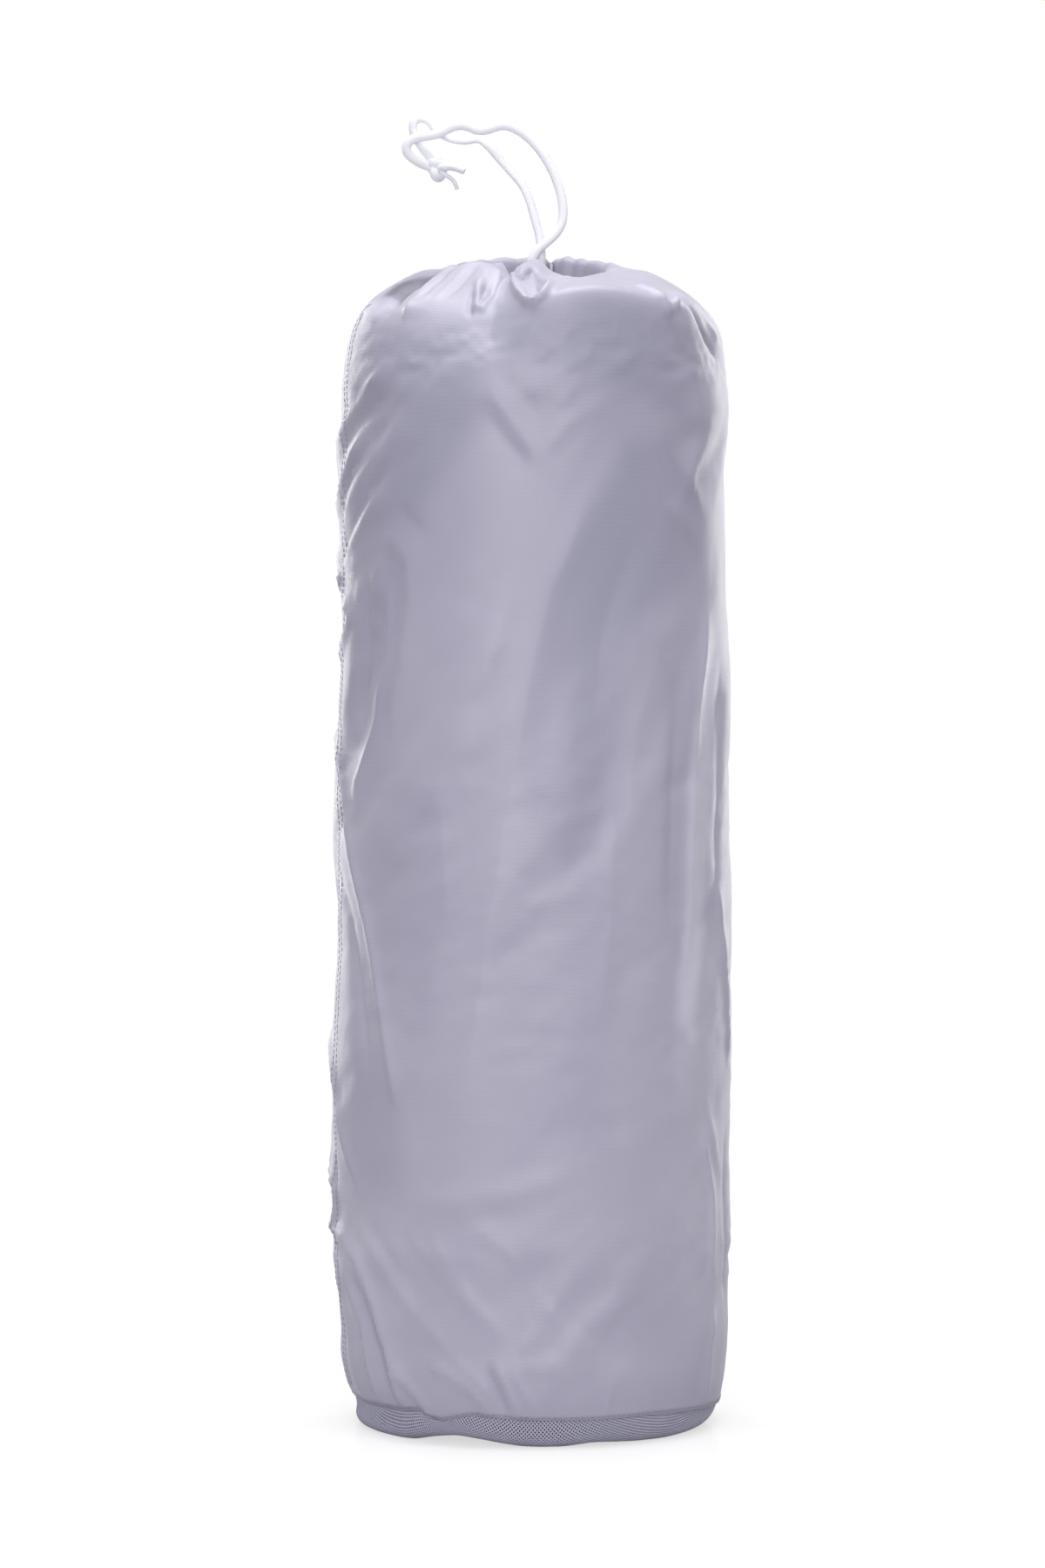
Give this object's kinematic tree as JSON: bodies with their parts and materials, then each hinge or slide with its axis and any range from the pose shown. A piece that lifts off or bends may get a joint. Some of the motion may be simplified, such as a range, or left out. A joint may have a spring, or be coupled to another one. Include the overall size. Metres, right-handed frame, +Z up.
{
  "type": "laundry bag",
  "caption": "Tall round drawstring laundry bag in satin nylon with a mesh base and a knotted white drawcord, standing filled out with its mouth drawn in.",
  "frame": {"origin": "on the floor under the centre of the round base", "axes": "+Z up along the bag, -Y towards the front, where the drawcord leaves the mouth, +X to the right as seen from the front"},
  "size_m": [0.2009, 0.201, 0.6749],
  "materials": {
    "nylon": "satin",
    "mesh": "matte",
    "binding_tape": "matte",
    "thread": "matte",
    "cord": "matte"
  },
  "bodies": {
    "bag": {"body_panel": "nylon", "gathered_crown": "nylon", "mouth_channel": "nylon", "mesh_base": "mesh", "base_binding": "binding_tape", "side_seam_allowance": "nylon", "side_seam_thread": "thread", "base_thread": "thread", "channel_thread": "thread", "drawcord_in_channel": "cord"},
    "drawcord": {"drawcord_front_strand": "cord", "drawcord_rear_strand": "cord", "end_knot": "cord", "knot_tails": "cord"}
  },
  "joints": [
    {"name": "drawcord_pull", "type": "slide", "parent": "bag", "child": "drawcord", "axis": [0, 0, 1], "range_m": [0, 0.018]}
  ]
}
